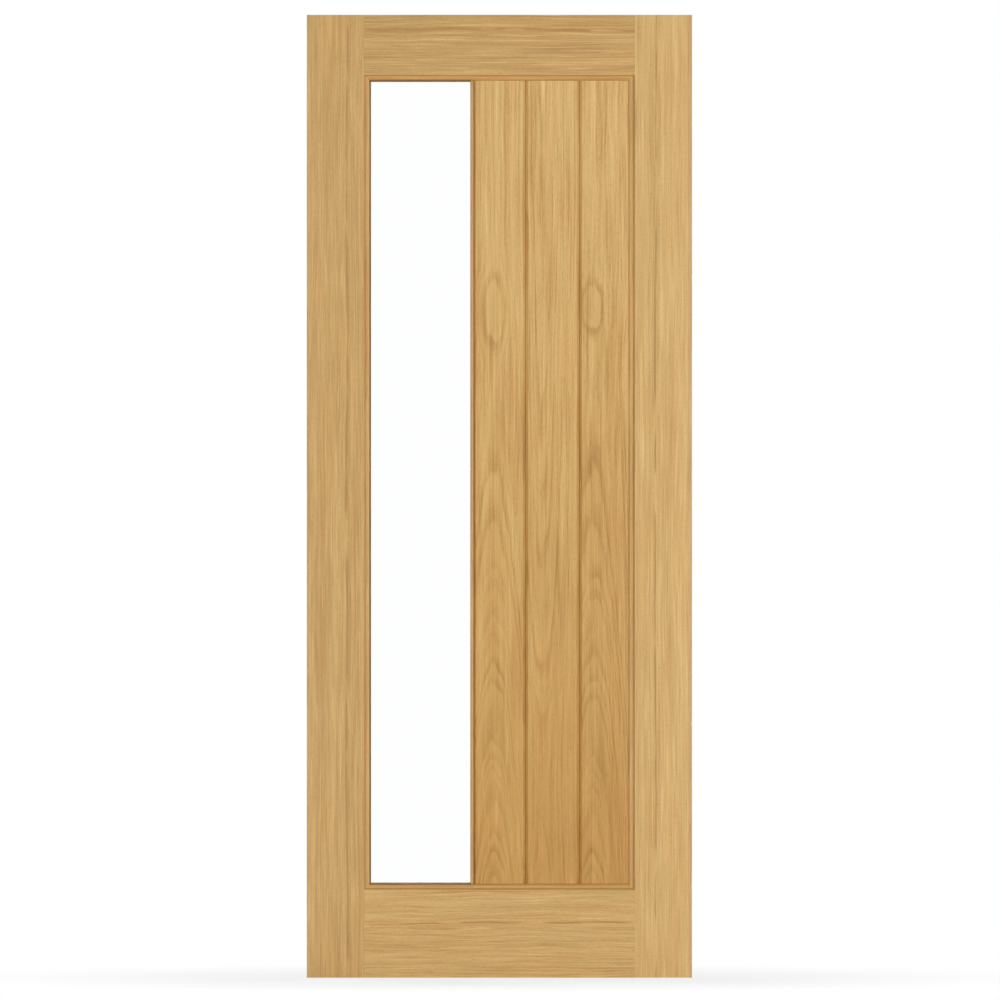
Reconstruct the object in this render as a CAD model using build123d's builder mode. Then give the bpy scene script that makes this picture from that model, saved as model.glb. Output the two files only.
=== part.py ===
from build123d import *
import os

# Glazed oak door leaf: stiles and rails round one tall opening, part clear glass and part V-jointed boards.
# X runs across the leaf from the hinge edge, Y from the front face to the back face, Z up the leaf.
# The origin is on the hinge edge, at the foot of the leaf, midway between the two faces.
# Both faces of the leaf are alike. All sizes are in millimetres.

# Leaf
leaf_width = 813.0
leaf_height = 2032.0
leaf_thickness = 35.0
stile_width = 121.0  # over the lipping
lipping_width = 8.0
top_rail_depth = 127.0
bottom_rail_depth = 186.0
edge_round = 1.5  # on the long outer arrises
opening_arris = 0.5  # on the arrises round the opening

# Glass and the tape it is bedded in
light_width = 224.0  # from the hinge stile to the glazing bar
glass_thickness = 6.0
glass_edge_gap = 2.5
tape_thickness = 1.0
tape_sight = 2.2  # strip of tape that shows beyond the beads
tape_setback = 1.0  # kept back inside the bar's groove

# Glazing bar between the glass and the boards
bar_width = 7.0
bar_setback = 7.0  # from the leaf's face to the bar's nose
bar_nose_round = 2.8
bar_groove_depth = 3.5
bar_groove_end_gap = 0.5  # between the glass and the bottom of the groove

# Boards
board_count = 3
board_thickness = 16.0
first_board_trim = 4.0  # taken off the first board beside the bar
board_side_gap = 3.0  # room to swell at the lock stile
board_end_gap = 2.0  # room to swell at the rails
board_joint_gap = 1.0
joint_v_width = 11.0
joint_v_depth = 4.0
tongue_thickness = 5.0
tongue_length = 6.0
tongue_cheek_gap = 0.2
tongue_end_gap = 0.5

# Beads: a small flat, a cove, a fillet rising from it, a flat top and a nose down to the glass or boards
bead_width = 12.2
bead_setback = 2.5  # from the leaf's face to the bead's flat
bead_flat = 0.4
bead_cove_radius = 4.0
bead_fillet_rise = 0.9
bead_nose_round = 3.6

# Places worked out from the sizes above
half_leaf = leaf_thickness / 2
half_glass = glass_thickness / 2
half_board = board_thickness / 2
opening_left = stile_width
opening_right = leaf_width - stile_width
opening_bottom = bottom_rail_depth
opening_top = leaf_height - top_rail_depth
opening_height = opening_top - opening_bottom
glass_bed = half_glass + tape_thickness  # from the middle of the leaf to the back of a glazing bead
bar_left = opening_left + light_width
bar_right = bar_left + bar_width
half_bar = half_leaf - bar_setback
cove_bottom = bead_setback + bead_cove_radius
fillet_start = bead_flat + bead_cove_radius
bead_top = cove_bottom - bead_fillet_rise
bead_nose_start = bead_width - bead_nose_round
board_field = opening_right - board_side_gap - bar_right
board_pitch = (board_field + first_board_trim) / board_count
groove_depth = tongue_length + tongue_end_gap
groove_width = tongue_thickness + 2 * tongue_cheek_gap

os.makedirs("parts", exist_ok=True)


def save(piece, name):
    """Label a finished piece and write it to its own file."""
    piece.part.label = name
    export_step(piece.part, f"parts/{name}.step")


# Stiles, full height, made up of a wide member and a thin lipping on the outer edge
with BuildPart() as hinge_stile:
    with BuildSketch():
        with Locations((lipping_width, 0)):
            Rectangle(stile_width - lipping_width, leaf_thickness, align=(Align.MIN, Align.CENTER))
    extrude(amount=leaf_height)
    chamfer(hinge_stile.edges().filter_by(Axis.Z).group_by(Axis.X)[-1], length=opening_arris)
save(hinge_stile, "hinge_stile")

with BuildPart() as hinge_edge_lipping:
    with BuildSketch():
        Rectangle(lipping_width, leaf_thickness, align=(Align.MIN, Align.CENTER))
    extrude(amount=leaf_height)
    fillet(hinge_edge_lipping.edges().filter_by(Axis.Z).group_by(Axis.X)[0], radius=edge_round)
save(hinge_edge_lipping, "hinge_edge_lipping")

leaf_middle = Plane.YZ.offset(leaf_width / 2)
with BuildPart() as lock_stile:
    mirror(hinge_stile.part, about=leaf_middle)
save(lock_stile, "lock_stile")

with BuildPart() as lock_edge_lipping:
    mirror(hinge_edge_lipping.part, about=leaf_middle)
save(lock_edge_lipping, "lock_edge_lipping")

# Rails between the stiles
with BuildPart() as top_rail:
    with BuildSketch(Plane.XY.offset(opening_top)):
        with Locations((leaf_width / 2, 0)):
            Rectangle(opening_right - opening_left, leaf_thickness)
    extrude(amount=top_rail_depth)
    chamfer(top_rail.edges().filter_by(Axis.X).group_by(Axis.Z)[0], length=opening_arris)
save(top_rail, "top_rail")

with BuildPart() as bottom_rail:
    with BuildSketch():
        with Locations((leaf_width / 2, 0)):
            Rectangle(opening_right - opening_left, leaf_thickness)
    extrude(amount=bottom_rail_depth)
    chamfer(bottom_rail.edges().filter_by(Axis.X).group_by(Axis.Z)[-1], length=opening_arris)
save(bottom_rail, "bottom_rail")


# Beads round the opening, mitred at the four corners of the leaf's opening
def bead_section(plane, depth):
    """Section of a bead: x runs in from the frame's edge, y from the leaf's face down to depth."""
    nose_centre = (bead_nose_start, bead_top + bead_nose_round)
    with BuildSketch(plane) as section:
        with BuildLine():
            flat = Line((0, bead_setback), (bead_flat, bead_setback))
            cove = RadiusArc(flat @ 1, (fillet_start, cove_bottom), bead_cove_radius)
            Polyline(cove @ 1, (fillet_start, bead_top), (bead_nose_start, bead_top))
            nose = CenterArc(nose_centre, bead_nose_round, -90, 90)
            Polyline(nose @ 1, (bead_width, half_leaf), (0, half_leaf), flat @ 0)
        make_face()
        with Locations((0, depth)):
            Rectangle(bead_width, half_leaf, align=(Align.MIN, Align.MIN), mode=Mode.SUBTRACT)
    return section.sketch


def front_bead(start, end, depth, start_mitred, end_mitred):
    """Front bead from one point (x, z) to the next, clockwise round the opening as seen from the front."""
    first = Vector(start[0], -half_leaf, start[1])
    last = Vector(end[0], -half_leaf, end[1])
    along = (last - first).normalized()
    inward = Vector(0, 1, 0).cross(along)
    with BuildPart() as bead:
        extrude(bead_section(Plane(first, x_dir=inward, z_dir=along), depth), amount=(last - first).length)
        if start_mitred:
            split(bisect_by=Plane(first, z_dir=along - inward), keep=Keep.TOP)
        if end_mitred:
            split(bisect_by=Plane(last, z_dir=-along - inward), keep=Keep.TOP)
    return bead


glazing_bead_depth = half_leaf - glass_bed
panel_bead_depth = half_leaf - half_board
bottom_left = (opening_left, opening_bottom)
top_left = (opening_left, opening_top)
top_bar = (bar_right, opening_top)
top_right = (opening_right, opening_top)
bottom_right = (opening_right, opening_bottom)
bottom_bar = (bar_right, opening_bottom)

front_beads = {
    "left_glazing_bead": front_bead(bottom_left, top_left, glazing_bead_depth, True, True),
    "top_glazing_bead": front_bead(top_left, top_bar, glazing_bead_depth, True, False),
    "top_panel_bead": front_bead(top_bar, top_right, panel_bead_depth, False, True),
    "right_panel_bead": front_bead(top_right, bottom_right, panel_bead_depth, True, True),
    "bottom_panel_bead": front_bead(bottom_right, bottom_bar, panel_bead_depth, True, False),
    "bottom_glazing_bead": front_bead(bottom_bar, bottom_left, glazing_bead_depth, False, True),
}
back_beads = {}
for bead_name, bead in front_beads.items():
    with BuildPart() as back_bead:
        mirror(bead.part, about=Plane.XZ)
    back_beads[bead_name] = back_bead
    save(bead, f"front_{bead_name}")
    save(back_bead, f"back_{bead_name}")

# Glazing bar: grooved for the glass, tongued into the first board, its noses scribed over the glazing beads
bar_groove_bottom = bar_left + bar_groove_depth
bar_nose_length = opening_height - 2 * bead_nose_start
with BuildPart() as glazing_bar:
    with BuildSketch(Plane.XY.offset(opening_bottom + bead_nose_start)) as bar_section:
        with Locations((bar_left, 0)):
            Rectangle(bar_width, 2 * half_bar, align=(Align.MIN, Align.CENTER))
        fillet(bar_section.vertices(), radius=bar_nose_round)
        with Locations((bar_left, 0)):
            Rectangle(bar_groove_depth, 2 * glass_bed, align=(Align.MIN, Align.CENTER), mode=Mode.SUBTRACT)
    extrude(amount=bar_nose_length)
    for scribed in ("top_glazing_bead", "bottom_glazing_bead"):
        add(front_beads[scribed].part, mode=Mode.SUBTRACT)
        add(back_beads[scribed].part, mode=Mode.SUBTRACT)
    with BuildSketch(Plane.XY.offset(opening_bottom)):
        with Locations((bar_groove_bottom, 0)):
            Rectangle(bar_right - bar_groove_bottom, 2 * glass_bed, align=(Align.MIN, Align.CENTER))
        with Locations((bar_right, 0)):
            Rectangle(tongue_length, tongue_thickness, align=(Align.MIN, Align.CENTER))
    extrude(amount=opening_height)
save(glazing_bar, "glazing_bar")

# Clear glass, with a thin ring of tape between it and the beads on each face
glass_left = opening_left + glass_edge_gap
glass_right = bar_groove_bottom - bar_groove_end_gap
glass_bottom = opening_bottom + glass_edge_gap
glass_top = opening_top - glass_edge_gap
with BuildPart() as glass_pane:
    with BuildSketch(Plane.XZ.offset(-half_glass)):
        with Locations((glass_left, glass_bottom)):
            Rectangle(glass_right - glass_left, glass_top - glass_bottom, align=Align.MIN)
    extrude(amount=glass_thickness)
save(glass_pane, "glass_pane")

sight_left = opening_left + bead_width + tape_sight
sight_right = bar_left + tape_setback
sight_bottom = opening_bottom + bead_width + tape_sight
sight_top = opening_top - bead_width - tape_sight
with BuildPart() as front_glazing_tape:
    with BuildSketch(Plane.XZ.offset(half_glass)):
        with Locations((glass_left, glass_bottom)):
            Rectangle(glass_right - glass_left, glass_top - glass_bottom, align=Align.MIN)
        with Locations((sight_left, sight_bottom)):
            Rectangle(sight_right - sight_left, sight_top - sight_bottom, align=Align.MIN, mode=Mode.SUBTRACT)
    extrude(amount=tape_thickness)
save(front_glazing_tape, "front_glazing_tape")

with BuildPart() as back_glazing_tape:
    mirror(front_glazing_tape.part, about=Plane.XZ)
save(back_glazing_tape, "back_glazing_tape")


# Boards, tongued and grooved, with a V at each joint on both faces
def board_section(left, right, tongued):
    """Section of a board: sloped beside each joint, grooved on the left, tongued or plain on the right."""
    slope_width = (joint_v_width - board_joint_gap) / 2
    slope_foot = half_board - joint_v_depth
    sloped_edge = [(right - slope_width, half_board), (right, slope_foot)]
    plain_edge = [(right, half_board)]
    right_side = sloped_edge if tongued else plain_edge
    with BuildSketch(Plane.XY.offset(opening_bottom + board_end_gap)) as section:
        with BuildLine():
            Polyline((left, 0), (left, slope_foot), (left + slope_width, half_board), *right_side, (right, 0))
            mirror(about=Plane.XZ)
        make_face()
        with Locations((left, 0)):
            Rectangle(groove_depth, groove_width, align=(Align.MIN, Align.CENTER), mode=Mode.SUBTRACT)
        if tongued:
            with Locations((right, 0)):
                Rectangle(tongue_length, tongue_thickness, align=(Align.MIN, Align.CENTER))
    return section.sketch


board_names = ("board_left", "board_middle", "board_right")
for index in range(board_count):
    joint_left = bar_right - first_board_trim + index * board_pitch
    joint_right = joint_left + board_pitch
    is_first = index == 0
    is_last = index == board_count - 1
    left_edge = bar_right if is_first else joint_left + board_joint_gap / 2
    right_edge = joint_right if is_last else joint_right - board_joint_gap / 2
    with BuildPart() as board:
        extrude(board_section(left_edge, right_edge, not is_last), amount=opening_height - 2 * board_end_gap)
    save(board, board_names[index])
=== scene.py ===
import math
from dataclasses import dataclass

import bpy
import numpy as np
from bpy.props import FloatProperty, FloatVectorProperty, PointerProperty
from bpy.types import Operator, Panel, PropertyGroup
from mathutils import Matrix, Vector


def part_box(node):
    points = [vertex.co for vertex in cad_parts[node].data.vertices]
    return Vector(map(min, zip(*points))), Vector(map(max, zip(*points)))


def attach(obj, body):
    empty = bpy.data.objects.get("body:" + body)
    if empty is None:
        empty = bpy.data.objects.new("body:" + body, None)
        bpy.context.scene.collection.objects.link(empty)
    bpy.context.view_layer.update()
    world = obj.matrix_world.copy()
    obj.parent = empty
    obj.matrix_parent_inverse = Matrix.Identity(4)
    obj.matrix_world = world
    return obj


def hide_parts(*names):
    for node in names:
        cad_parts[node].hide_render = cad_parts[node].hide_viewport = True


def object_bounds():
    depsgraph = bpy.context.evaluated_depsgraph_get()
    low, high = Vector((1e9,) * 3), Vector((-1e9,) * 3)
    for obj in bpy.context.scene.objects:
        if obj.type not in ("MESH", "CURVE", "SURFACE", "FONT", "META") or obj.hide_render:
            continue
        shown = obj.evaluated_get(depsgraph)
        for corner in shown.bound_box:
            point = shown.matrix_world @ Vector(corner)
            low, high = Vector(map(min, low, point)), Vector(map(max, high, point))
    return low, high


bl_info = {
    "name": "Glazed oak door leaf",
    "version": (1, 0, 0),
    "blender": (4, 5, 0),
    "location": "View3D > Sidebar > Oak door",
    "description": "Dresses an oak door leaf with run mouldings, grain, glass and a plain studio stage",
    "category": "Object",
}

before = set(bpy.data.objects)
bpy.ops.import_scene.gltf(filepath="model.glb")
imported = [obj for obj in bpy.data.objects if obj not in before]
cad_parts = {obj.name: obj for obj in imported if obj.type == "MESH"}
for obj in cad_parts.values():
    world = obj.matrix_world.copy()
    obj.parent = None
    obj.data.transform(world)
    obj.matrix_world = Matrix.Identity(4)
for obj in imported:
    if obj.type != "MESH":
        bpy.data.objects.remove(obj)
CAD_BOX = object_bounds()

MM = 0.001
BODY = "root"

# Places read from the frame, in metres
LEAF_LOW, LEAF_HIGH = CAD_BOX
HALF_LEAF = LEAF_HIGH.y
OPENING_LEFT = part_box("hinge_stile")[1].x
OPENING_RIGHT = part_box("lock_stile")[0].x
OPENING_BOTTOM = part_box("bottom_rail")[1].z
OPENING_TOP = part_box("top_rail")[0].z
BEAD_LOW, BEAD_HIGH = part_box("front_left_glazing_bead")
BEAD_WIDTH = BEAD_HIGH.x - BEAD_LOW.x
BEAD_SETBACK = BEAD_LOW.y + HALF_LEAF
GLASS_BED = -BEAD_HIGH.y
HALF_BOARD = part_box("board_left")[1].y
BAR_LOW, BAR_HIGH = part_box("glazing_bar")
BAR_LEFT = BAR_LOW.x
BAR_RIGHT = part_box("board_left")[0].x
HALF_BAR = BAR_HIGH.y
TONGUE_LENGTH = BAR_HIGH.x - BAR_RIGHT


def srgb(red, green, blue):
    """Linear colour of an 8-bit screen colour, by the screen's own curve."""
    share = np.array([red, green, blue]) / 255
    return tuple(np.where(share <= 0.04045, share / 12.92, ((share + 0.055) / 1.055) ** 2.4).tolist())


def length(name, description, default):
    """A length property in metres."""
    return FloatProperty(
        name=name, description=description, default=default, min=0, unit="LENGTH", precision=4
    )


def watts(name, description, default):
    """A power property in watts."""
    return FloatProperty(name=name, description=description, default=default, min=0, unit="POWER")


def colour(name, description, default):
    """A colour property, linear red, green and blue."""
    return FloatVectorProperty(
        name=name, description=description, default=default, min=0, max=1, size=3, subtype="COLOR"
    )


class DoorSizes(PropertyGroup):
    """Sizes of the mouldings and joints that the frame's boxes don't give."""

    outer_round: length("Outer round", "Radius on the long outer arrises of the leaf", 1.5 * MM)
    opening_arris: length("Opening arris", "Radius on the arrises round the opening", 0.5 * MM)
    joint_ease: length("Joint easing", "Radius on arrises that meet in a glued joint", 0.18 * MM)
    bead_flat: length("Bead flat", "Width of the flat beside the frame", 0.4 * MM)
    bead_cove: length("Bead cove", "Radius of the hollow beside the flat", 4.0 * MM)
    bead_fillet_rise: length("Bead fillet rise", "Height of the fillet out of the cove", 0.9 * MM)
    bead_nose: length("Bead nose", "Radius of the nose over the glass or the boards", 3.6 * MM)
    bead_ease: length("Bead easing", "Radius on the bead's small arrises", 0.2 * MM)
    bar_nose: length("Bar nose", "Radius on the noses of the glazing bar", 2.8 * MM)
    bar_groove: length("Bar groove", "Depth of the groove for the glass", 3.5 * MM)
    joint_v_width: length("V width", "Width of one slope of the V at a board joint", 5.0 * MM)
    joint_v_depth: length("V depth", "Depth of the V at a board joint", 4.0 * MM)
    board_ease: length("Board easing", "Radius at the top of each V slope", 0.6 * MM)
    tongue_thickness: length("Tongue thickness", "Thickness of a board's tongue", 5.0 * MM)
    groove_depth: length("Groove depth", "Depth of a board's groove", 6.5 * MM)
    groove_width: length("Groove width", "Width of a board's groove", 5.4 * MM)


class OakColours(PropertyGroup):
    """Colours of the oak, the glass and the tape."""

    frame_light: colour("Frame light", "Pale streaks of the stiles and rails", srgb(224, 190, 129))
    frame_middle: colour("Frame middle", "Body colour of the stiles and rails", srgb(203, 166, 105))
    frame_dark: colour("Frame dark", "Dark streaks of the stiles and rails", srgb(173, 135, 79))
    board_light: colour("Board light", "Pale streaks of the boards", srgb(226, 193, 132))
    board_middle: colour("Board middle", "Body colour of the boards", srgb(208, 171, 108))
    board_dark: colour("Board dark", "Dark streaks of the boards", srgb(177, 136, 74))
    bead_light: colour("Bead light", "Pale streaks of the beads", srgb(214, 177, 116))
    bead_middle: colour("Bead middle", "Body colour of the beads", srgb(197, 156, 93))
    bead_dark: colour("Bead dark", "Dark streaks of the beads", srgb(164, 123, 68))
    rosy_patch: colour("Rosy patches", "Multiplies the oak's colour in patches", (1.0, 0.955, 0.93))
    foot_tone: colour("Foot tone", "Multiplies the boards' colour at the foot", (0.81, 0.695, 0.49))
    # Painted shade: this tint darkens the oak where shade falls, in coves, on level beads' noses, in V joints
    # and beside the bar
    painted_shade: colour("Hollows", "Multiplies the oak's colour in hollows", (0.82, 0.74, 0.6))
    # Painted shade: this tint darkens a bead or the bar along the glass, where its nose stands in shade
    shade_at_glass: colour("Glass line", "Multiplies a bead's colour along the glass", (0.38, 0.37, 0.34))
    pore: colour("Pores", "Colour down in the open pores", srgb(138, 98, 54))
    glass: colour("Glass", "Tint of the clear glass", (0.985, 0.995, 0.99))
    tape: colour("Tape", "Glazing tape", srgb(140, 112, 64))


class StageSettings(PropertyGroup):
    """Camera, lamps and floor."""

    camera_distance: length("Camera distance", "From the camera to the leaf's front face", 40.0)
    view_size: length("View size", "Width and height of the picture at the leaf's front face", 2.1104)
    camera_across: length("Camera across", "Place of the camera across the leaf", 0.4077)
    camera_height: length("Camera height", "Height of the camera above the floor", 1.0081)
    key_power: watts("Key power", "Power of the stronger lamp, on the right of the front", 364.0)
    fill_power: watts("Fill power", "Power of the weaker lamp, on the left of the front", 249.0)
    back_power: watts("Back power", "Power of each of the two lamps behind the leaf", 430.0)
    lamp_aside: length("Lamps aside", "How far each lamp stands to the side of the leaf's middle", 4.5)
    lamp_ahead: length("Lamps ahead", "How far each lamp stands before or behind the leaf", 6.5)
    back_rise: length("Back lamps' rise", "How far the lamps behind the leaf stand above its middle", 4.5)
    lamp_width: length("Lamp width", "Width of each lamp's panel", 2.4)
    lamp_height: length("Lamp height", "Height of each lamp's panel", 1.9)
    surroundings: FloatProperty(
        name="Surroundings", description="Light of the surroundings", default=0.05, min=0
    )
    floor_colour: colour("Floor", "Plain pale floor", (0.6, 0.6, 0.6))
    floor_reach: length("Floor reach", "From the middle of the floor to its edges", 15.0)
    shadow_share: FloatProperty(
        name="Shadow share", description="Share of the floor at the foot that takes shadow",
        default=0.2, min=0, max=1, subtype="FACTOR",
    )
    shadow_start: length("Shadow start", "Distance from the foot at which the shadow starts to fade", 0.3)
    shadow_reach: length("Shadow reach", "Distance from the foot at which the floor is plain white", 1.3)


# Shapes

ARC_STEP = math.radians(7.5)
FEWEST_ARC_STEPS = 4
EASED_STEPS = 6
BAR_STEPS = 12  # on each of the glazing bar's rounded corners
SHARP_ANGLE = math.radians(35)
TINY = 1e-9  # keeps a division from being by nothing
SAME_PLACE = 1e-7  # metres, nearer than which two points are one
# Name of the point attribute that holds each point's share of painted shade: 1 in hollows, 2 along the glass
PAINTED_SHADE_ATTRIBUTE = "painted_shade"


def arc(centre, radius, start_deg, end_deg):
    """Points of an arc: centre plus radius times the cosine and sine of an angle that runs evenly."""
    start, end = math.radians(start_deg), math.radians(end_deg)
    count = max(FEWEST_ARC_STEPS, math.ceil(abs(end - start) / ARC_STEP))
    angle = np.linspace(start, end, count + 1)
    return np.column_stack([centre[0] + radius * np.cos(angle), centre[1] + radius * np.sin(angle)])


def eased(corners, radii, steps=EASED_STEPS):
    """Closed outline whose corners are arcs that touch both sides.

    The arc's centre lies on the corner's bisector, radius over the sine of half the corner's angle away.
    The spokes to its points turn evenly from one tangent point to the other. A radius of 0 keeps the corner.
    """
    corners = np.asarray(corners, float)
    radii = np.asarray(radii, float)[:, None]
    back = np.roll(corners, 1, axis=0) - corners
    ahead = np.roll(corners, -1, axis=0) - corners
    back /= np.linalg.norm(back, axis=1, keepdims=True)
    ahead /= np.linalg.norm(ahead, axis=1, keepdims=True)
    cosine = np.clip(np.sum(back * ahead, axis=1, keepdims=True), -1, 1)
    half = np.maximum(np.arccos(cosine) / 2, TINY)
    bisector = back + ahead
    bisector /= np.maximum(np.linalg.norm(bisector, axis=1, keepdims=True), TINY)
    centre = corners + bisector * radii / np.sin(half)
    first = corners + back * radii / np.tan(half) - centre
    last = corners + ahead * radii / np.tan(half) - centre
    turn = (math.pi - 2 * half)[:, :, None]
    share = np.linspace(0, 1, steps + 1)[None, :, None]
    blend = np.sin((1 - share) * turn) * first[:, None] + np.sin(share * turn) * last[:, None]
    spokes = blend / np.maximum(np.sin(turn), TINY)
    points = (centre[:, None] + spokes).reshape(-1, 2)
    apart = np.linalg.norm(points - np.roll(points, 1, axis=0), axis=1) > SAME_PLACE
    return points[apart]


def block(low, high, radii):
    """Rectangle from its low to its high corner, with a radius for each corner in turn, eased."""
    corners = [(low[0], low[1]), (high[0], low[1]), (high[0], high[1]), (low[0], high[1])]
    return eased(corners, radii)


def both_faces(upper):
    """Corners of (across, depth, radius) for one face, then the same mirrored for the other face."""
    return np.array(upper + [(across, -depth, radius) for across, depth, radius in reversed(upper)])


def carried(profile, origin, axes, rows):
    """Solid made by carrying a profile along a straight run.

    Point (j, i) is the origin plus profile point i along the first two axes plus rows[j][i] along the third.
    Neighbouring rows are joined by quads, and the first and last rows are closed by caps. Faces are turned
    round where the profile's signed area times the axes' triple product is negative, so all point outwards.
    """
    count = len(profile)
    across, depth, along = (np.asarray(axis, float) for axis in axes)
    flat = np.asarray(origin, float) + profile[:, :1] * across + profile[:, 1:] * depth
    runs = np.array([np.broadcast_to(row, count) for row in rows])
    points = (flat[None] + runs[:, :, None] * along).reshape(-1, 3)
    here = np.arange(count)
    following = np.roll(here, -1)
    level = (np.arange(len(rows) - 1) * count)[:, None]
    corners = level + here, level + following, level + following + count, level + here + count
    quads = np.stack(corners, axis=-1).reshape(-1, 4)
    ahead = profile[following]
    area = np.sum(profile[:, 0] * ahead[:, 1] - ahead[:, 0] * profile[:, 1])
    order = 1 if area * np.dot(np.cross(across, depth), along) > 0 else -1
    first_cap, last_cap = here[::-order], (here + (len(rows) - 1) * count)[::order]
    return points, quads[:, ::order].tolist() + [first_cap.tolist(), last_cap.tolist()]


def add_piece(node, points, faces, material, painted_shade=None):
    """Put a solid into the scene in place of the frame's node of that name.

    The painted shade gives each profile point's share of shade painted into its colour: 1 in hollows, 2 along
    the glass.
    """
    mesh = bpy.data.meshes.new(f"{node}_oak")
    mesh.from_pydata(points.tolist(), [], faces)
    mesh.shade_smooth()
    mesh.set_sharp_from_angle(angle=SHARP_ANGLE)
    mesh.materials.append(material)
    if painted_shade is not None:
        shares = np.tile(painted_shade, len(points) // len(painted_shade))
        mesh.attributes.new(PAINTED_SHADE_ATTRIBUTE, "FLOAT", "POINT").data.foreach_set("value", shares.astype(np.float32))
    piece = bpy.data.objects.new(mesh.name, mesh)
    bpy.context.scene.collection.objects.link(piece)
    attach(piece, BODY)
    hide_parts(node)


# Materials

# Places of the Mix node's colour sockets, which share their names with its other sockets
MIX_SHARE, MIX_FIRST, MIX_SECOND, MIX_RESULT = 0, 6, 7, 2


class Nodes:
    """Builds one node tree. A method adds nodes and returns the output to go on from."""

    def __init__(self, tree):
        self.tree = tree
        tree.nodes.clear()

    def add(self, kind, inputs=(), **settings):
        """Add a node with its settings, and return it. Each input, by name or number, is linked or set."""
        node = self.tree.nodes.new(f"ShaderNode{kind}")
        for key, value in settings.items():
            setattr(node, key, value)
        for key, value in dict(inputs).items():
            if isinstance(value, bpy.types.NodeSocket):
                self.tree.links.new(value, node.inputs[key])
            else:
                node.inputs[key].default_value = value
        return node

    def math(self, operation, *values):
        """Result of a Math node's operation on the values."""
        return self.add("Math", enumerate(values), operation=operation).outputs[0]

    def weighted(self, total, *terms):
        """The total plus value times weight, for each (value, weight)."""
        for value, weight in terms:
            total = self.math("MULTIPLY_ADD", value, weight, total)
        return total

    def noise(self, place, cell, detail):
        """Soft noise from 0 to 1 whose lumps are about as large as cell, along each axis."""
        cells = self.add("VectorMath", {0: place, 1: cell}, operation="DIVIDE").outputs[0]
        return self.add("TexNoise", {"Vector": cells, "Scale": 1.0, "Detail": detail}).outputs[0]

    def centred(self, place, cell, detail):
        """Soft noise from about -1 to 1."""
        return self.math("MULTIPLY_ADD", self.noise(place, cell, detail), 2.0, -1.0)

    def ramp(self, value, low, high, start=0.0, end=1.0):
        """Smooth step from start to end as the value goes from low to high."""
        inputs = {"Value": value, "From Min": low, "From Max": high, "To Min": start, "To Max": end}
        return self.add("MapRange", inputs, interpolation_type="SMOOTHSTEP").outputs[0]

    def mix(self, share, first, second, blend="MIX"):
        """Colour between the first and the second."""
        inputs = {MIX_SHARE: share, MIX_FIRST: first, MIX_SECOND: second}
        return self.add("Mix", inputs, data_type="RGBA", blend_type=blend).outputs[MIX_RESULT]

    def tinted(self, share, body, tint):
        """The body's colour, multiplied by the tint as far as the share says."""
        return self.mix(share, body, (*tint, 1.0), "MULTIPLY")

    def tones(self, value, stops):
        """Colour picked by the value from stops of (position, colour)."""
        node = self.add("ValToRGB", {0: value})
        elements = node.color_ramp.elements
        for index, (position, tone) in enumerate(stops):
            element = elements[index] if index < 2 else elements.new(position)
            element.position = position
            element.color = (*tone, 1.0)
        return node.outputs[0]

    def curve(self, value, points):
        """Smooth curve through points of (share, height), both from 0 to 1."""
        node = self.add("FloatCurve", {"Value": value})
        knots = node.mapping.curves[0].points
        knots[0].location, knots[1].location = points[0], points[-1]
        for point in points[1:-1]:
            knots.new(*point)
        node.mapping.update()
        return node.outputs[0]

    def finish(self, shader):
        """Send the shader to the material's surface."""
        self.add("OutputMaterial", {"Surface": shader})


def new_material(name):
    """Empty node material."""
    material = bpy.data.materials.new(name)
    material.use_nodes = True
    return material, Nodes(material.node_tree)


# Sizes of the oak's markings across, through and along the grain, in millimetres
WANDER_CELL = (80.0, 80.0, 420.0)
RIPPLE_CELL = (18.0, 18.0, 90.0)
STREAK_CELL = (8.0, 8.0, 330.0)
FIBRE_WIDTH = 3.2
FINE_FIBRE_CELL = (1.1, 1.1, 42.0)
PORE_CELL = (0.32, 0.32, 8.0)
FLECK_CELL = (2.8, 2.8, 130.0)
BREAK_CELL = (14.0, 14.0, 110.0)
PATCH_CELL = (32.0, 32.0, 260.0)
CLOUD_CELL = (30.0, 30.0, 230.0)
VEIN_CORE = 0.6
VEIN_HALF_WIDTH = 3.2
SEED_STEP = (137.0, 71.0, 911.0)  # from one seed's part of the field to the next

# Values of the noise between which each marking comes in
BREAK_BAND = (0.35, 0.65)
PORE_BAND = (0.66, 0.76)
FLECK_BAND = (0.6, 0.74)
PATCH_BAND = (0.36, 0.64)
VEIN_BAND = (0.36, 0.56)

# How the growth rings show
EARLY_FULL = 0.2  # share of a year at which its early wood is fullest
EARLY_END = 0.9  # share of a year at which it is gone
FAINTEST_YEAR = 0.15  # beside 1 for the year that shows most
BROKEN_YEAR = 0.4  # share of a year's strength that is left where it is broken
RING_RIPPLE = 0.4  # rings by which the ripple moves a year
UNEVEN_RATE = 0.3  # lumps of unevenness to a ring
UNEVEN_YEARS = 3.0  # years by which the unevenness moves the count

# Between the first two shares of a board's length, a strength goes from the third number to the fourth
YEARS_FADE = (0.2, 0.7, 1.0, 0.8)
FIBRES_LIVEN = (0.1, 0.6, 0.5, 1.0)

# How far each marking takes the oak's tone from its light colour, at 0, to its dark one, at 1
BODY_TONE = 0.44
CLOUD_TONE = 0.18
STREAK_TONE = 0.18
FIBRE_TONE = 0.3
FINE_FIBRE_TONE = 0.14
PORE_TONE = 0.1
FLECK_TONE = -0.22
VEIN_TONE = 0.5

# The oak's surface
PORE_IN_EARLY_WOOD = 0.1  # added to the chance of a pore
PORE_COLOUR_SHARE = 0.25
FINE_FIBRE_HEIGHT = 0.012
PORE_HEIGHT = -0.09
RING_HEIGHT = -0.03
OAK_BUMP = 0.5
OAK_ROUGHNESS = 0.44
PORE_ROUGHNESS = 0.2
FINE_FIBRE_ROUGHNESS = 0.05
PATCH_ROUGHNESS = 0.1
OAK_SPECULAR = 0.3


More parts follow.
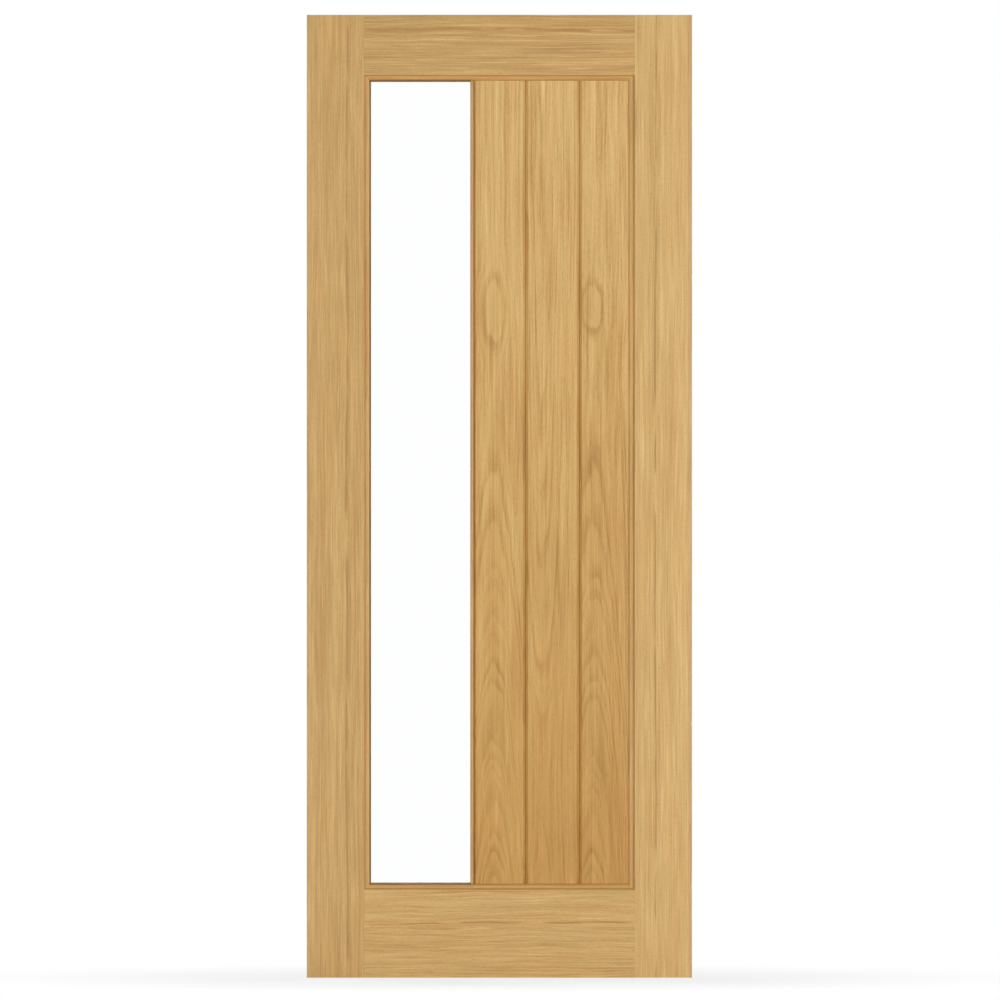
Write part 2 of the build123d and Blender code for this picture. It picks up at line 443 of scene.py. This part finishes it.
@dataclass
class Cut:
    """How a piece was cut from the log, in millimetres from the piece's centre."""

    centre: tuple  # of the piece, in metres
    seed: float
    level: bool = False  # True where the grain runs across the leaf
    pith_across: float = 150.0
    pith_depth: float = 150.0
    ring: float = 2.7  # width of a growth ring
    ring_strength: float = 0.22
    first_year: float = 0.0  # from which the rings are counted, out from the pith
    contrast: float = 1.0  # of the streaks and fibres
    fibre_length: float = 95.0
    wander: float = 6.0
    ripple: float = 0.8
    shade: float = 0.0  # darkens the whole piece
    vein: float | None = None  # place across the piece of a dark vein along the grain
    rise: tuple = ()  # (share of the length, depth of the pith), for boards with a figure
    deepens: bool = False  # True where the colour deepens towards the foot


def along_board(nodes, along):
    """Share of the opening's height, 0 at the foot and 1 at the head."""
    half_length = (OPENING_TOP - OPENING_BOTTOM) / 2 / MM
    inputs = {"Value": along, "From Min": -half_length, "From Max": half_length}
    return nodes.add("MapRange", inputs).outputs[0]


def growth_rings(nodes, across, depth, along, ripple, cut):
    """Early wood, from 0 to 1, and how strongly each year shows.

    A year is the distance to the pith over the ring's width. Along a board the pith rises and falls, so
    the years come to its face as arches and eyes.
    """
    pith_depth = cut.pith_depth
    shown = 1.0
    if cut.rise:
        heights = [height for share, height in cut.rise]
        lowest, span = min(heights), max(heights) - min(heights)
        points = [(share, (height - lowest) / span) for share, height in cut.rise]
        share_up = along_board(nodes, along)
        lift = nodes.curve(share_up, points)
        pith_depth = nodes.math("MULTIPLY_ADD", lift, span, lowest)
        shown = nodes.ramp(share_up, *YEARS_FADE)
    from_pith = nodes.math("SUBTRACT", across, cut.pith_across)
    down_to_pith = nodes.math("SUBTRACT", depth, pith_depth)
    squares = nodes.math("ADD", nodes.math("POWER", from_pith, 2.0), nodes.math("POWER", down_to_pith, 2.0))
    radius = nodes.weighted(0.0, (nodes.math("SQRT", squares), 1.0), (ripple, RING_RIPPLE * cut.ring))
    unevenness = {"W": radius, "Scale": UNEVEN_RATE / cut.ring, "Detail": 1.0}
    uneven = nodes.add("TexNoise", unevenness, noise_dimensions="1D").outputs[0]
    years = nodes.weighted(cut.first_year, (radius, 1 / cut.ring), (uneven, UNEVEN_YEARS))
    year_share = nodes.math("FRACT", years)
    mood = nodes.add("TexWhiteNoise", {"W": nodes.math("FLOOR", years)}, noise_dimensions="1D").outputs[0]
    rising = nodes.ramp(year_share, 0.0, EARLY_FULL)
    falling = nodes.ramp(year_share, EARLY_FULL, EARLY_END, 1.0, 0.0)
    strength = nodes.math("MULTIPLY", nodes.ramp(mood, 0.0, 1.0, FAINTEST_YEAR, 1.0), shown)
    return nodes.math("MULTIPLY", rising, falling), strength


def oak(name, light, middle, dark, cut):
    """Oak: growth rings about a pith, with fibres, pores, flecks and streaks stretched along the grain.

    The field is solid, so the edges and ends of a piece show it too.
    """
    colours = bpy.context.scene.oak_door_colours
    material, nodes = new_material(name)
    turn = math.pi / 2 if cut.level else 0.0
    x, y, z = (-value / MM for value in cut.centre)
    shift = (z, y, -x) if cut.level else (x, y, z)
    place = nodes.add("Mapping", {
        "Vector": nodes.add("TexCoord").outputs["Object"],
        "Location": shift, "Rotation": (0, turn, 0), "Scale": (1 / MM,) * 3,
    }).outputs[0]
    seed_shift = tuple(cut.seed * step for step in SEED_STEP)
    field = nodes.add("VectorMath", {0: place, 1: seed_shift}, operation="ADD").outputs[0]
    straight, depth, along = nodes.add("SeparateXYZ", {0: place}).outputs

    # The grain wanders a little from side to side on its way along the piece
    wander = nodes.centred(field, WANDER_CELL, 1)
    ripple = nodes.centred(field, RIPPLE_CELL, 1)
    across = nodes.weighted(straight, (wander, cut.wander), (ripple, cut.ripple))
    grain = nodes.add("CombineXYZ", {0: across, 1: depth, 2: along}).outputs[0]
    grain = nodes.add("VectorMath", {0: grain, 1: seed_shift}, operation="ADD").outputs[0]

    early, strength = growth_rings(nodes, across, depth, along, ripple, cut)
    broken = nodes.ramp(nodes.noise(grain, BREAK_CELL, 1), *BREAK_BAND, BROKEN_YEAR, 1.0)
    ring = nodes.math("MULTIPLY", nodes.math("MULTIPLY", early, strength), broken)
    cloud = nodes.centred(grain, CLOUD_CELL, 1)
    streak = nodes.centred(grain, STREAK_CELL, 1)
    fibre = nodes.centred(grain, (FIBRE_WIDTH, FIBRE_WIDTH, cut.fibre_length), 2)
    if cut.deepens:
        livelier = nodes.ramp(along_board(nodes, along), *FIBRES_LIVEN)
        fibre = nodes.math("MULTIPLY", fibre, livelier)
        streak = nodes.math("MULTIPLY", streak, livelier)
    fine_fibre = nodes.centred(grain, FINE_FIBRE_CELL, 1)
    pore_chance = nodes.weighted(nodes.noise(grain, PORE_CELL, 0), (early, PORE_IN_EARLY_WOOD))
    pore = nodes.ramp(pore_chance, *PORE_BAND)
    fleck = nodes.ramp(nodes.noise(grain, FLECK_CELL, 0), *FLECK_BAND)
    patch = nodes.noise(field, PATCH_CELL, 1)

    tone = nodes.weighted(
        BODY_TONE + cut.shade, (cloud, CLOUD_TONE * cut.contrast), (streak, STREAK_TONE * cut.contrast),
        (fibre, FIBRE_TONE * cut.contrast), (fine_fibre, FINE_FIBRE_TONE), (ring, cut.ring_strength),
        (pore, PORE_TONE), (fleck, FLECK_TONE),
    )
    if cut.vein is not None:
        aside = nodes.math("ABSOLUTE", nodes.math("SUBTRACT", across, cut.vein))
        line = nodes.ramp(aside, VEIN_CORE, VEIN_HALF_WIDTH, 1.0, 0.0)
        shown = nodes.ramp(nodes.noise(field, BREAK_CELL, 1), *VEIN_BAND)
        tone = nodes.weighted(tone, (nodes.math("MULTIPLY", line, shown), VEIN_TONE))
    body = nodes.tones(tone, [(0.0, light), (1.0, dark), (0.5, middle)])
    body = nodes.tinted(nodes.ramp(patch, *PATCH_BAND), body, colours.rosy_patch)
    if cut.deepens:
        low_down = nodes.math("SUBTRACT", 1.0, along_board(nodes, along))
        body = nodes.tinted(low_down, body, colours.foot_tone)
    # Painted shade: the attribute's first unit multiplies in the shade tint, its second the much darker
    # painted shade along the glass
    painted_shade_share = nodes.add("Attribute", attribute_name=PAINTED_SHADE_ATTRIBUTE).outputs["Fac"]
    body = nodes.tinted(painted_shade_share, body, colours.painted_shade)
    body = nodes.tinted(nodes.math("SUBTRACT", painted_shade_share, 1.0), body, colours.shade_at_glass)
    body = nodes.mix(nodes.math("MULTIPLY", pore, PORE_COLOUR_SHARE), body, (*colours.pore, 1.0))

    height = nodes.weighted(
        0.0, (fine_fibre, FINE_FIBRE_HEIGHT), (pore, PORE_HEIGHT), (ring, RING_HEIGHT)
    )
    bump = nodes.add("Bump", {"Strength": OAK_BUMP, "Distance": MM, "Height": height}).outputs[0]
    roughness = nodes.weighted(
        OAK_ROUGHNESS, (pore, PORE_ROUGHNESS), (fine_fibre, FINE_FIBRE_ROUGHNESS), (patch, PATCH_ROUGHNESS)
    )
    shader = nodes.add("BsdfPrincipled", {
        "Base Color": body, "Roughness": roughness, "Normal": bump, "Specular IOR Level": OAK_SPECULAR,
    })
    nodes.finish(shader.outputs[0])
    return material


# The glass and the tape, with the sizes of their markings in metres
GLASS_WAVE_CELL = (0.12, 0.12, 0.35)
GLASS_WAVE_BUMP = 0.02
GLASS_HAZE_CELL = (0.05, 0.05, 0.08)
GLASS_HAZE = 0.02  # roughness of the glass where it is haziest
GLASS_IOR = 1.45
TAPE_CELL = 0.4 * MM
TAPE_CELL_DEPTH = 0.1 * MM
TAPE_BUMP = 0.4
TAPE_CLOUD_CELL = (0.01, 0.01, 0.05)
TAPE_SHADES = (0.8, 1.1)
TAPE_ROUGHNESS = (0.75, 0.95)
TAPE_ROUGH_EDGE = 0.6  # distance from a cell's centre at which the tape is roughest, in cells
TAPE_SPECULAR = 0.2
SOFT_BAND = (0.3, 0.7)  # most of a soft noise's values


def clear_glass():
    """Clear float glass with a very faint waviness; light for shadows goes straight through."""
    colours = bpy.context.scene.oak_door_colours
    material, nodes = new_material("clear_glass")
    place = nodes.add("TexCoord").outputs["Object"]
    wave = nodes.noise(place, GLASS_WAVE_CELL, 1)
    bump = nodes.add("Bump", {"Strength": GLASS_WAVE_BUMP, "Distance": MM, "Height": wave}).outputs[0]
    haze = nodes.ramp(nodes.noise(place, GLASS_HAZE_CELL, 3), *SOFT_BAND, 0.0, GLASS_HAZE)
    pane = nodes.add("BsdfPrincipled", {
        "Base Color": (*colours.glass, 1.0), "Transmission Weight": 1.0, "IOR": GLASS_IOR,
        "Roughness": haze, "Normal": bump,
    }).outputs[0]
    through = nodes.add("BsdfTransparent", {"Color": (*colours.glass, 1.0)}).outputs[0]
    shadow_ray = nodes.add("LightPath").outputs["Is Shadow Ray"]
    nodes.finish(nodes.add("MixShader", {0: shadow_ray, 1: pane, 2: through}).outputs[0])
    return material


def foam_tape():
    """Dense foam tape, matt, with a fine cellular surface."""
    colours = bpy.context.scene.oak_door_colours
    material, nodes = new_material("glazing_tape")
    place = nodes.add("TexCoord").outputs["Object"]
    cells = nodes.add("TexVoronoi", {"Vector": place, "Scale": 1 / TAPE_CELL}).outputs["Distance"]
    shade = nodes.ramp(nodes.noise(place, TAPE_CLOUD_CELL, 3), *SOFT_BAND, *TAPE_SHADES)
    grey = nodes.add("CombineColor", {0: shade, 1: shade, 2: shade}).outputs[0]
    body = nodes.mix(1.0, (*colours.tape, 1.0), grey, "MULTIPLY")
    bump = nodes.add("Bump", {"Strength": TAPE_BUMP, "Distance": TAPE_CELL_DEPTH, "Height": cells}).outputs[0]
    rough = nodes.ramp(cells, 0.0, TAPE_ROUGH_EDGE, *TAPE_ROUGHNESS)
    shader = nodes.add("BsdfPrincipled", {
        "Base Color": body, "Roughness": rough, "Normal": bump, "Specular IOR Level": TAPE_SPECULAR,
    })
    nodes.finish(shader.outputs[0])
    return material


def middle_of(node):
    """Centre of a node's box, as a tuple in metres."""
    low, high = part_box(node)
    return tuple((low + high) / 2)


# Operators

class OAKDOOR_OT_stiles(Operator):
    """Make the two full-height stiles and the lippings on their outer edges"""

    bl_idname = "oak_door.stiles"
    bl_label = "Stiles and lippings"

    def execute(self, context):
        sizes = context.scene.oak_door_sizes
        colours = context.scene.oak_door_colours
        tones = colours.frame_light, colours.frame_middle, colours.frame_dark
        joint, arris, outer = sizes.joint_ease, sizes.opening_arris, sizes.outer_round
        members = {
            "hinge_stile": (
                (joint, arris, arris, joint), dict(seed=1.0, pith_across=190.0, vein=20.0, shade=0.16),
            ),
            "lock_stile": (
                (arris, joint, joint, arris), dict(seed=2.0, pith_across=-170.0, vein=-12.0, shade=-0.02),
            ),
            "hinge_edge_lipping": (
                (outer, joint, joint, outer), dict(seed=3.0, pith_across=90.0, shade=0.16),
            ),
            "lock_edge_lipping": (
                (joint, outer, outer, joint), dict(seed=4.0, pith_across=-120.0),
            ),
        }
        for node, (radii, marks) in members.items():
            low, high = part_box(node)
            profile = block(low.xy, high.xy, radii)
            points, faces = carried(profile, (0, 0, 0), np.eye(3), (low.z, high.z))
            cut = Cut(middle_of(node), **marks)
            add_piece(node, points, faces, oak(f"{node}_oak", *tones, cut))
        return {"FINISHED"}


class OAKDOOR_OT_rails(Operator):
    """Make the top and bottom rails between the stiles"""

    bl_idname = "oak_door.rails"
    bl_label = "Rails"

    def execute(self, context):
        sizes = context.scene.oak_door_sizes
        colours = context.scene.oak_door_colours
        tones = colours.frame_light, colours.frame_middle, colours.frame_dark
        joint, arris = sizes.joint_ease, sizes.opening_arris
        axes = (0, 0, 1), (0, 1, 0), (1, 0, 0)
        rails = {
            "top_rail": (
                (arris, joint, joint, arris), dict(seed=5.0, pith_across=140.0, vein=34.0, shade=0.2),
            ),
            "bottom_rail": (
                (joint, arris, arris, joint), dict(seed=6.0, pith_across=-180.0, vein=22.0, shade=0.06),
            ),
        }
        for node, (radii, marks) in rails.items():
            low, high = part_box(node)
            profile = block((low.z, low.y), (high.z, high.y), radii)
            points, faces = carried(profile, (0, 0, 0), axes, (low.x, high.x))
            cut = Cut(middle_of(node), level=True, wander=9.0, ripple=2.4, **marks)
            add_piece(node, points, faces, oak(f"{node}_oak", *tones, cut))
        return {"FINISHED"}


# Where shade is painted on a bead. Away from the frame it goes from full to none between shares of the
# cove's radius. Down the nose and towards the glass it goes from none to full between shares of the width.
SHADE_BESIDE_FRAME = (0.3, 1.0)
SHADE_DOWN_NOSE = (0.5, 0.72)
# Painted shade along the glass, in shares of the width, on level and upright beads
LEVEL_SHADE_AT_GLASS = (0.76, 0.84)
UPRIGHT_SHADE_AT_GLASS = (0.84, 0.92)


@dataclass
class BeadSection:
    """Places on a bead's section: u in from the frame's edge, v down from the leaf's face, in metres."""

    cove_centre: tuple
    cove: float
    top: float
    nose_centre: tuple
    nose: float


def bead_section(sizes):
    """Centres and radii of the cove and the nose, and the depth of the flat top between them."""
    cove_centre = sizes.bead_flat + sizes.bead_cove, BEAD_SETBACK
    top = BEAD_SETBACK + sizes.bead_cove - sizes.bead_fillet_rise
    nose_centre = BEAD_WIDTH - sizes.bead_nose, top + sizes.bead_nose
    return BeadSection(cove_centre, sizes.bead_cove, top, nose_centre, sizes.bead_nose)


def bead_profile(sizes, depth):
    """Closed outline of a bead down to a depth: flat, cove, fillet, top and nose, small arrises eased.

    Each curve is an arc about its own centre, and they are joined by straight lines.
    """
    section = bead_section(sizes)
    ease = sizes.bead_ease
    flat_end = sizes.bead_flat
    fillet_start = section.cove_centre[0]
    cove_start = 180 - math.degrees(math.asin(ease / section.cove))
    drop = np.clip((depth - section.nose_centre[1]) / section.nose, -1, 0)
    nose = arc(section.nose_centre, section.nose, -90, math.degrees(math.asin(drop)))
    return np.concatenate([
        [(0, BEAD_SETBACK)],
        arc((flat_end - ease, BEAD_SETBACK + ease), ease, -90, -20),
        arc(section.cove_centre, section.cove, cove_start, 90),
        arc((fillet_start + ease, section.top + ease), ease, 180, 270),
        nose,
        [(nose[-1, 0], depth), (0, depth)] if drop == 0 else [(0, depth)],
    ])


def bead_painted_shade(sizes, profile, level, over_glass):
    """Share of painted shade at each profile point.

    Shade is painted beside the frame and down the nose of a level bead, and along the glass on every bead
    over it.
    """
    across = profile[:, 0]
    shade_beside_frame = np.interp(across / sizes.bead_cove, SHADE_BESIDE_FRAME, (1, 0))
    shade_down_nose = np.interp(across / BEAD_WIDTH, SHADE_DOWN_NOSE, (0, 1))
    shade_at_glass = LEVEL_SHADE_AT_GLASS if level else UPRIGHT_SHADE_AT_GLASS
    shade_along_glass = np.interp(across / BEAD_WIDTH, shade_at_glass, (0, 2))
    return np.maximum(np.maximum(shade_beside_frame, shade_down_nose) * level, shade_along_glass * over_glass)


def bead_reach(sizes, depth):
    """How far a glazing bead stands in from the frame's edge at each depth.

    That is the nose's centre plus the root of its radius squared less the height above the centre squared.
    """
    section = bead_section(sizes)
    above = np.clip(section.nose_centre[1] - depth, 0, section.nose)
    return section.nose_centre[0] + np.sqrt(section.nose ** 2 - above ** 2)


class OAKDOOR_OT_beads(Operator):
    """Make the mitred beads round the opening, front and back"""

    bl_idname = "oak_door.beads"
    bl_label = "Beads"

    def execute(self, context):
        sizes = context.scene.oak_door_sizes
        colours = context.scene.oak_door_colours
        tones = colours.bead_light, colours.bead_middle, colours.bead_dark
        left, right, low, high = OPENING_LEFT, OPENING_RIGHT, OPENING_BOTTOM, OPENING_TOP
        glazing, panel = HALF_LEAF - GLASS_BED, HALF_LEAF - HALF_BOARD
        # Start, end, depth, and whether the start and the end are mitred
        runs = {
            "left_glazing_bead": ((left, low), (left, high), glazing, (True, True)),
            "top_glazing_bead": ((left, high), (BAR_RIGHT, high), glazing, (True, False)),
            "top_panel_bead": ((BAR_RIGHT, high), (right, high), panel, (False, True)),
            "right_panel_bead": ((right, high), (right, low), panel, (True, True)),
            "bottom_panel_bead": ((right, low), (BAR_RIGHT, low), panel, (True, False)),
            "bottom_glazing_bead": ((BAR_RIGHT, low), (left, low), glazing, (False, True)),
        }
        for face, side, first_seed in (("front", -1, 20.0), ("back", 1, 32.0)):
            for index, (name, (start, end, depth, mitred)) in enumerate(runs.items()):
                node = f"{face}_{name}"
                profile = bead_profile(sizes, depth)
                origin = np.array((start[0], side * HALF_LEAF, start[1]))
                run = np.array((end[0] - start[0], 0, end[1] - start[1]))
                reach = np.linalg.norm(run)
                along = run / reach
                inward = np.cross((0, 1, 0), along)
                cut_back = profile[:, 0]
                rows = (cut_back * mitred[0], reach - cut_back * mitred[1])
                points, faces = carried(profile, origin, (inward, (0, -side, 0), along), rows)
                level = start[1] == end[1]
                cut = Cut(middle_of(node), first_seed + index, level=level, wander=3.0)
                painted_shade = bead_painted_shade(sizes, profile, level, depth == glazing)
                add_piece(node, points, faces, oak(f"{node}_oak", *tones, cut), painted_shade)
        return {"FINISHED"}


# Where shade is painted on the glazing bar, in shares of its nose's radius. Down towards the board it goes
# from none to full, and away from the glass from full to none.
BAR_SHADE_BESIDE_BOARD = (0.4, 1.0)
BAR_SHADE_AT_GLASS = (0.1, 0.5)
SCRIBE_STEP = 0.01 * MM  # depth over which the bar's end steps from its scribed nose to its square tongue


class OAKDOOR_OT_bar(Operator):
    """Make the slim bar between the glass and the boards, scribed over the beads"""

    bl_idname = "oak_door.bar"
    bl_label = "Glazing bar"

    def execute(self, context):
        sizes = context.scene.oak_door_sizes
        colours = context.scene.oak_door_colours
        tones = colours.bead_light, colours.bead_middle, colours.bead_dark
        nose, tongue = sizes.bar_nose, sizes.tongue_thickness / 2
        left, right = BAR_LEFT, BAR_RIGHT
        groove, tip = left + sizes.bar_groove, right + TONGUE_LENGTH
        shoulder = GLASS_BED - SCRIBE_STEP
        outline = both_faces([
            (tip, tongue, 0), (right, tongue, 0), (right, shoulder, 0), (right, GLASS_BED, 0),
            (right, HALF_BAR, nose), (left, HALF_BAR, nose), (left, GLASS_BED, sizes.bead_ease),
            (groove, GLASS_BED, 0), (groove, shoulder, 0),
        ])
        profile = eased(outline[:, :2], outline[:, 2], steps=BAR_STEPS)
        across, depth = profile[:, 0], np.abs(profile[:, 1])
        on_nose = depth > GLASS_BED - SCRIBE_STEP / 2
        scribe = np.where(on_nose, bead_reach(sizes, HALF_LEAF - depth), 0.0)
        rows = (OPENING_BOTTOM + scribe, OPENING_TOP - scribe)
        points, faces = carried(profile, (0, 0, 0), np.eye(3), rows)
        cut = Cut(middle_of("glazing_bar"), seed=40.0, wander=3.0)
        shade_down_nose = np.interp((HALF_BAR - depth) / nose, BAR_SHADE_BESIDE_BOARD, (0, 1))
        shade_beside_board = shade_down_nose * (across > right - nose)
        shade_along_glass = np.interp((across - left) / nose, BAR_SHADE_AT_GLASS, (2, 0))
        painted_shade = np.maximum(shade_beside_board, shade_along_glass)
        add_piece("glazing_bar", points, faces, oak("glazing_bar_oak", *tones, cut), painted_shade)
        return {"FINISHED"}


# How each board was cut. The rise gives the pith's depth at shares of the board's length, and a dip in it
# shows as an eye.
BOARD_CUTS = {
    "board_left": dict(seed=10.0, pith_across=-16.0, shade=-0.02, first_year=7.4, rise=(
        (0.0, 55.0), (0.24, 79.0), (0.48, 100.0), (0.58, 104.2), (0.635, 104.2), (0.71, 100.3),
        (0.785, 104.2), (0.86, 104.2), (1.0, 104.2),
    )),
    "board_middle": dict(seed=11.0, pith_across=-24.0, shade=-0.02, rise=(
        (0.0, 52.0), (0.16, 56.0), (0.3, 48.0), (0.5, 38.0), (0.75, 33.0), (1.0, 30.0),
    )),
    "board_right": dict(seed=12.0, pith_across=-28.0, shade=0.06, first_year=1.4, rise=(
        (0.0, 57.0), (0.2, 77.0), (0.48, 100.0), (0.6, 104.2), (0.665, 104.2), (0.715, 100.3),
        (0.765, 104.2), (0.86, 104.2), (1.0, 104.2),
    )),
}

# Shade is painted in a V: a share of it, from this share of the slope's depth down
V_PAINTED_SHADE = 0.6
V_PAINTED_SHADE_FROM = 0.03


class OAKDOOR_OT_boards(Operator):
    """Make the tongued and grooved boards with a V at each joint"""

    bl_idname = "oak_door.boards"
    bl_label = "Boards"

    def execute(self, context):
        sizes = context.scene.oak_door_sizes
        colours = context.scene.oak_door_colours
        tones = colours.board_light, colours.board_middle, colours.board_dark
        slope, ease = sizes.joint_v_width, sizes.board_ease
        foot = HALF_BOARD - sizes.joint_v_depth
        tongue, groove = sizes.tongue_thickness / 2, sizes.groove_width / 2
        for node, marks in BOARD_CUTS.items():
            low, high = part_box(node)
            tongued = node != "board_right"
            left = low.x
            right = high.x - TONGUE_LENGTH if tongued else high.x
            right_side = [(right, HALF_BOARD, sizes.joint_ease)]
            if tongued:
                right_side = [
                    (high.x, tongue, 0), (right, tongue, 0), (right, foot, 0),
                    (right - slope, HALF_BOARD, ease),
                ]
            outline = both_faces(right_side + [
                (left + slope, HALF_BOARD, ease), (left, foot, 0), (left, groove, 0),
                (left + sizes.groove_depth, groove, 0),
            ])
            profile = eased(outline[:, :2], outline[:, 2])
            points, faces = carried(profile, (0, 0, 0), np.eye(3), (low.z, high.z))
            cut = Cut(
                middle_of(node), ring=3.2, ring_strength=0.42, contrast=1.5, fibre_length=190.0,
                deepens=True, **marks,
            )
            down_slope = (HALF_BOARD - np.abs(profile[:, 1])) / sizes.joint_v_depth
            painted_shade = np.interp(down_slope, (0, V_PAINTED_SHADE_FROM), (0, V_PAINTED_SHADE))
            add_piece(node, points, faces, oak(f"{node}_oak", *tones, cut), painted_shade)
        return {"FINISHED"}


class OAKDOOR_OT_glazing(Operator):
    """Give the glass pane and the glazing tape their finishes"""

    bl_idname = "oak_door.glazing"
    bl_label = "Glass and tape"

    def execute(self, context):
        finishes = {"glass_pane": clear_glass()}
        tape = foam_tape()
        finishes.update({"front_glazing_tape": tape, "back_glazing_tape": tape})
        for node, material in finishes.items():
            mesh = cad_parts[node].data
            mesh.materials.clear()
            mesh.materials.append(material)
        return {"FINISHED"}


class OAKDOOR_OT_stage(Operator):
    """Set the camera, the lamps, the surroundings and the floor"""

    bl_idname = "oak_door.stage"
    bl_label = "Stage"

    def execute(self, context):
        stage = context.scene.oak_door_stage
        context.scene.view_settings.view_transform = "Standard"
        self.place_camera(context, stage)
        self.place_lamps(context, stage)
        self.light_surroundings(context, stage)
        self.lay_floor(context, stage)
        return {"FINISHED"}

    def place_camera(self, context, stage):
        """Look straight at the front face from far off, with a lens that takes in the view's size."""
        data = bpy.data.cameras.new("leaf_camera")
        data.lens = data.sensor_width * stage.camera_distance / stage.view_size
        camera = bpy.data.objects.new("leaf_camera", data)
        camera.location = (stage.camera_across, -HALF_LEAF - stage.camera_distance, stage.camera_height)
        camera.rotation_euler = (math.pi / 2, 0, 0)
        context.scene.collection.objects.link(camera)
        context.scene.camera = camera

    def place_lamps(self, context, stage):
        """Stand two lamps in front, level with the leaf's middle, and two higher ones behind."""
        middle = (LEAF_LOW + LEAF_HIGH) / 2
        aside, ahead, rise = stage.lamp_aside, stage.lamp_ahead, stage.back_rise
        lamps = {
            "key_lamp": (stage.key_power, (aside, -ahead, 0)),
            "fill_lamp": (stage.fill_power, (-aside, -ahead, 0)),
            "back_left_lamp": (stage.back_power, (-aside, ahead, rise)),
            "back_right_lamp": (stage.back_power, (aside, ahead, rise)),
        }
        for name, (power, place) in lamps.items():
            data = bpy.data.lights.new(name, "AREA")
            data.shape = "RECTANGLE"
            data.size, data.size_y = stage.lamp_width, stage.lamp_height
            data.energy = power
            lamp = bpy.data.objects.new(name, data)
            lamp.location = middle + Vector(place)
            lamp.rotation_euler = (middle - lamp.location).to_track_quat("-Z", "Y").to_euler()
            context.scene.collection.objects.link(lamp)

    def seen_directly(self, nodes):
        """1 for rays from the camera, from reflections and through glass, and 0 for the rest."""
        path = nodes.add("LightPath").outputs
        glossy = nodes.math("MAXIMUM", path["Is Glossy Ray"], path["Is Transmission Ray"])
        return nodes.math("MAXIMUM", path["Is Camera Ray"], glossy)

    def light_surroundings(self, context, stage):
        """Surroundings that are white to look at and give only a little light."""
        world = bpy.data.worlds.new("white_surroundings")
        world.use_nodes = True
        nodes = Nodes(world.node_tree)
        strength = nodes.ramp(self.seen_directly(nodes), 0.0, 1.0, stage.surroundings, 1.0)
        background = nodes.add("Background", {"Color": (1, 1, 1, 1), "Strength": strength}).outputs[0]
        nodes.add("OutputWorld", {"Surface": background})
        context.scene.world = world

    def lay_floor(self, context, stage):
        """A square floor that takes some shadow near the foot and is plain white further off."""
        corners = np.array([(-1, -1, 0), (1, -1, 0), (1, 1, 0), (-1, 1, 0)]) * stage.floor_reach
        mesh = bpy.data.meshes.new("floor")
        mesh.from_pydata(corners.tolist(), [], [(0, 1, 2, 3)])
        material, nodes = new_material("pale_floor")
        place = nodes.add("TexCoord").outputs["Object"]
        middle = ((LEAF_LOW + LEAF_HIGH) / 2).to_2d().to_3d()
        away = nodes.add("VectorMath", {0: place, 1: middle}, operation="DISTANCE").outputs["Value"]
        share = nodes.ramp(away, stage.shadow_start, stage.shadow_reach, stage.shadow_share, 0.0)
        plain = nodes.math("MULTIPLY", self.seen_directly(nodes), nodes.math("SUBTRACT", 1.0, share))
        lit = nodes.math("SUBTRACT", 1.0, plain)
        white = nodes.add("Emission", {"Color": (1, 1, 1, 1), "Strength": 1.0}).outputs[0]
        pale = nodes.add("BsdfDiffuse", {"Color": (*stage.floor_colour, 1.0)}).outputs[0]
        nodes.finish(nodes.add("MixShader", {0: lit, 1: white, 2: pale}).outputs[0])
        mesh.materials.append(material)
        floor = bpy.data.objects.new("floor", mesh)
        context.scene.collection.objects.link(floor)


STEPS = (
    OAKDOOR_OT_stiles, OAKDOOR_OT_rails, OAKDOOR_OT_beads, OAKDOOR_OT_bar, OAKDOOR_OT_boards,
    OAKDOOR_OT_glazing, OAKDOOR_OT_stage,
)


class OAKDOOR_PT_panel(Panel):
    """Lists the steps that dress the door leaf, and its sizes and colours"""

    bl_label = "Oak door"
    bl_space_type = "VIEW_3D"
    bl_region_type = "UI"
    bl_category = "Oak door"

    def draw(self, context):
        for step in STEPS:
            self.layout.operator(step.bl_idname)
        for group in SETTINGS:
            settings = getattr(context.scene, group)
            box = self.layout.box()
            for name in settings.bl_rna.properties.keys():
                if name not in ("rna_type", "name"):
                    box.prop(settings, name)


SETTINGS = {"oak_door_sizes": DoorSizes, "oak_door_colours": OakColours, "oak_door_stage": StageSettings}
CLASSES = (*SETTINGS.values(), *STEPS, OAKDOOR_PT_panel)


def register():
    """Register the classes, and give the scene its settings."""
    for each in CLASSES:
        bpy.utils.register_class(each)
    for name, group in SETTINGS.items():
        setattr(bpy.types.Scene, name, PointerProperty(type=group))


def unregister():
    """Take the settings and the classes out again."""
    for name in SETTINGS:
        delattr(bpy.types.Scene, name)
    for each in reversed(CLASSES):
        bpy.utils.unregister_class(each)


def main():
    """Run the steps in order."""
    register()
    bpy.ops.oak_door.stiles()
    bpy.ops.oak_door.rails()
    bpy.ops.oak_door.beads()
    bpy.ops.oak_door.bar()
    bpy.ops.oak_door.boards()
    bpy.ops.oak_door.glazing()
    bpy.ops.oak_door.stage()


if __name__ == "__main__":
    main()
